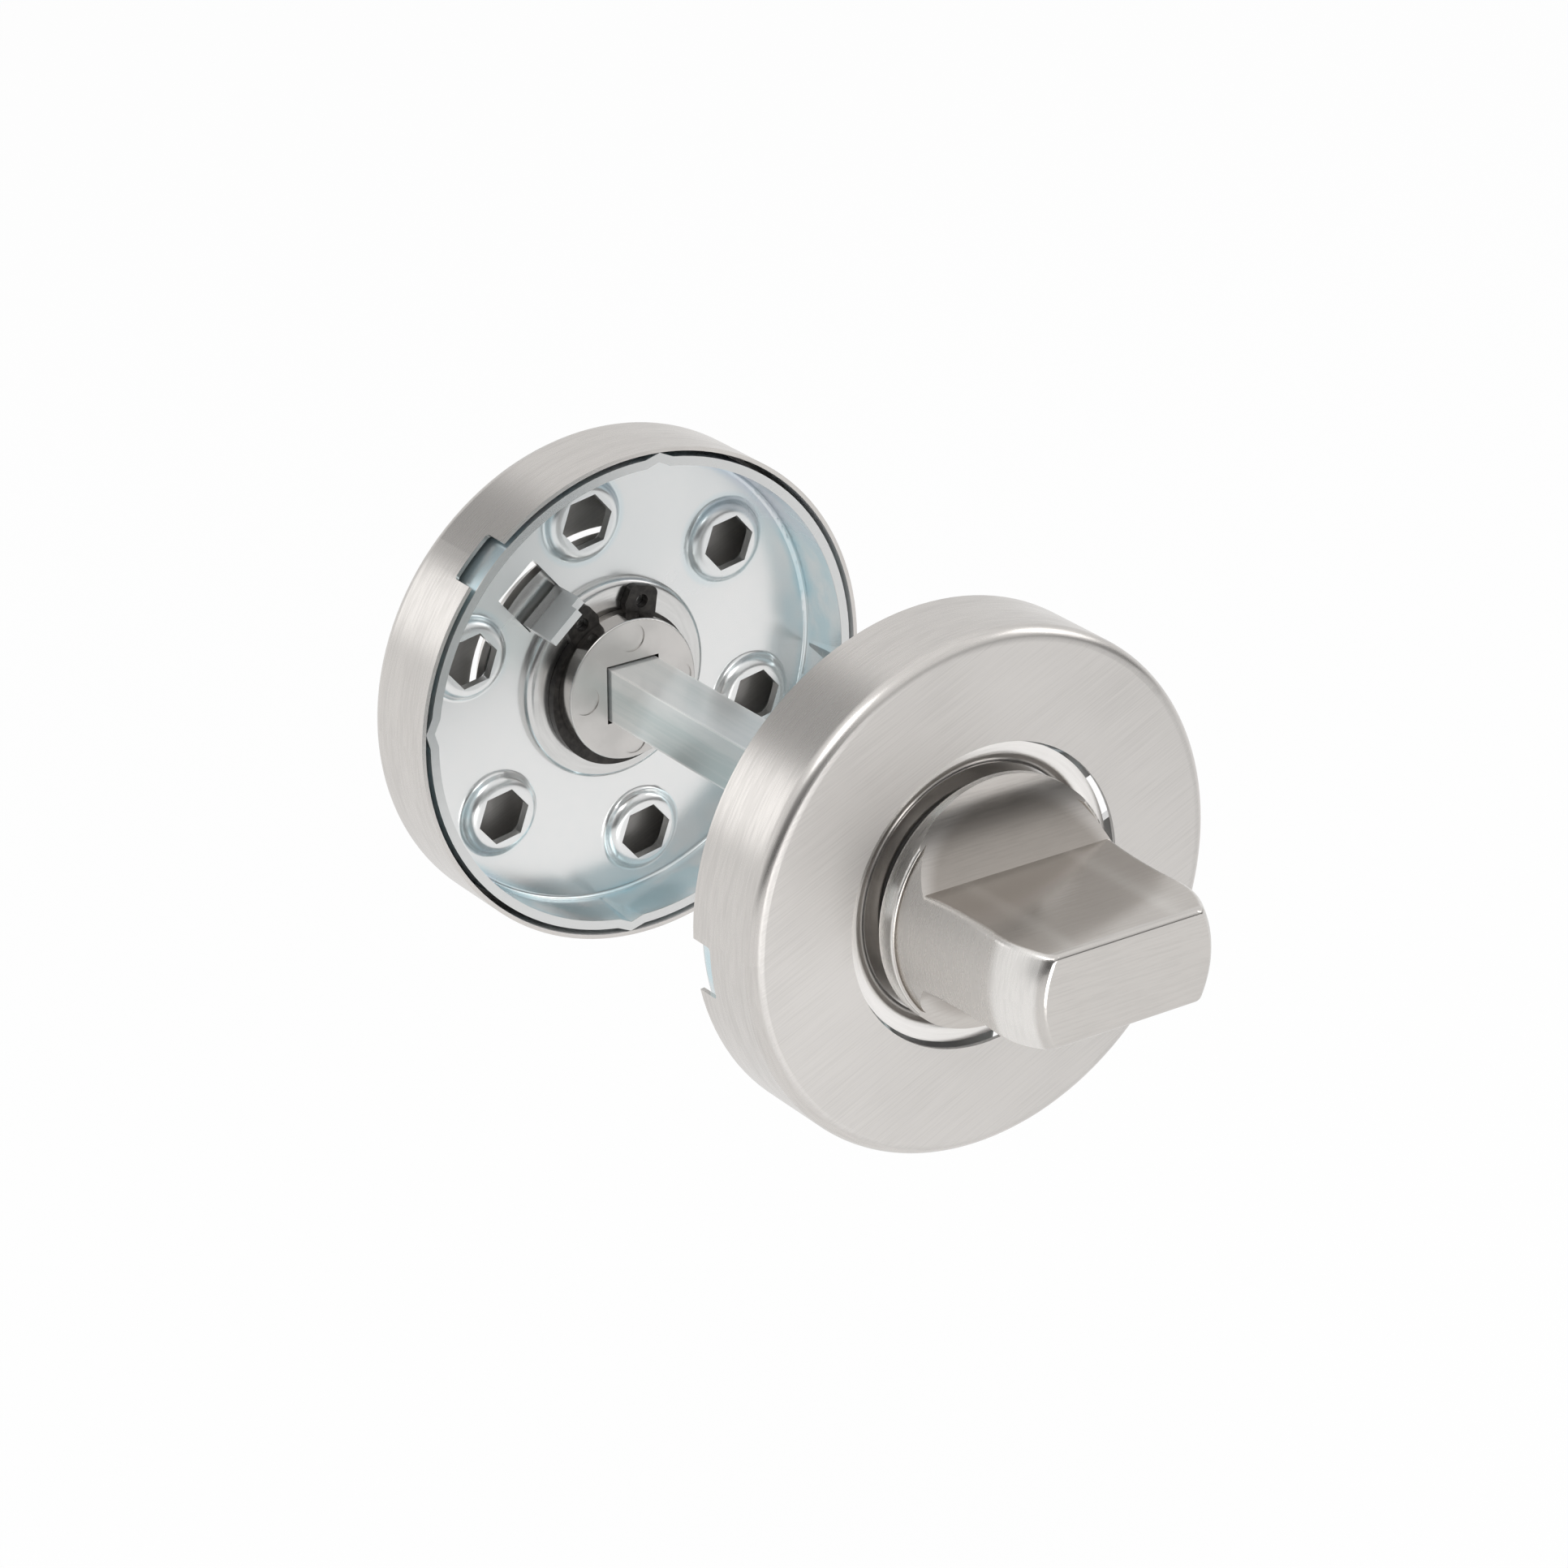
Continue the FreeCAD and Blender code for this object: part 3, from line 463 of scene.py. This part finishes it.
# It reads as the white background to the camera and in reflections, and keeps the shadow of the set.
pale = bpy.data.materials.new("pale_floor")
pale.use_nodes = True
ground = Graph(pale.node_tree)
matt = pale.node_tree.nodes["Principled BSDF"]
ground.feed(matt.inputs["Base Color"], FLOOR_PALE)
ground.feed(matt.inputs["Roughness"], FLOOR_ROUGHNESS)
path = ground.add("ShaderNodeLightPath").outputs
seen = ground.largest(path["Is Camera Ray"], path["Is Glossy Ray"], path["Is Transmission Ray"])
white = ground.add("ShaderNodeEmission", WHITE, 1.0)
look = ground.add("ShaderNodeMixShader", ground.times(seen, FLOOR_GLOW),
                  matt.outputs[0], white.outputs[0])
ground.feed(pale.node_tree.nodes["Material Output"].inputs["Surface"], look.outputs[0])
floor_mesh.materials.append(pale)

# Strengths of the parts of the room, and the spans of height or of Y over which they change.
BACK_WALL, CEILING, FRONT_LOW, FRONT_HIGH = 0.88, 1.0, 0.12, 0.85
FRONT_SPAN, WALL_SPAN, CEILING_SPAN = (0.06, 0.50), (-0.35, 0.30), (0.55, 0.85)
# Soft patches: direction, cosines at which each starts and is full, and its strength.
CAMERA_SIDE = ((-0.52, -0.75, 0.41), (0.86, 0.97), 0.3)
DIM_PATCH = ((-0.26, 0.75, 0.61), (0.93, 0.99), 0.42)
BRIGHT_PATCH = ((-0.60, 0.75, 0.28), (0.965, 0.99), 0.75)
LEFT_WINDOW = ((-1.0, 0.0, 0.15), (0.86, 0.97), 0.2)

# World: white to the camera, and for the rest a room that darkens towards the front.
world = bpy.data.worlds.new("room")
scene.world = world
world.use_nodes = True
room = Graph(world.node_tree)
direction = room.add("ShaderNodeTexCoord").outputs["Generated"]
_, toward_back, height = room.add("ShaderNodeSeparateXYZ", direction).outputs


def patch(spot, span, strength, around):
    """Strength towards one direction of the room, within a strength all around it."""
    nearness = room.add("ShaderNodeVectorMath", direction, Vector(spot).normalized(),
                        operation="DOT_PRODUCT")
    return room.ramp(nearness.outputs["Value"], span, to=(around, strength))


front_light = room.ramp(height, FRONT_SPAN, to=(FRONT_LOW, FRONT_HIGH))
front_light = room.times(front_light, patch(*CAMERA_SIDE, around=1.0))
room_light = room.ramp(toward_back, WALL_SPAN, to=(front_light, BACK_WALL))
room_light = room.ramp(height, CEILING_SPAN, to=(room_light, CEILING))
room_light = room.times(room_light, patch(*DIM_PATCH, around=1.0))
for bright in (BRIGHT_PATCH, LEFT_WINDOW):
    room_light = room.math("ADD", room_light, patch(*bright, around=0.0))
to_camera = room.add("ShaderNodeLightPath").outputs["Is Camera Ray"]
background = world.node_tree.nodes["Background"]
room.feed(background.inputs["Color"], WHITE)
room.feed(background.inputs["Strength"], room.mix_value(to_camera, room_light, 1.0))

# Lamps that face the origin: place, width and power.
LAMPS = {
    "key": ((-0.45, -0.35, 0.85), 0.45, 2.0),
    "fill": ((0.85, -0.25, 0.55), 0.5, 1.2),
    "reflector": ((0.01, -0.41, -0.11), 0.22, 0.45),
}
for name, (spot, width, power) in LAMPS.items():
    light = bpy.data.lights.new(name, "AREA")
    light.shape = "SQUARE"
    light.size = width
    light.energy = power
    lamp = bpy.data.objects.new(name, light)
    lamp.location = spot
    lamp.rotation_euler = (-Vector(spot)).to_track_quat("-Z", "Y").to_euler()
    scene.collection.objects.link(lamp)

scene.view_settings.view_transform = "Standard"
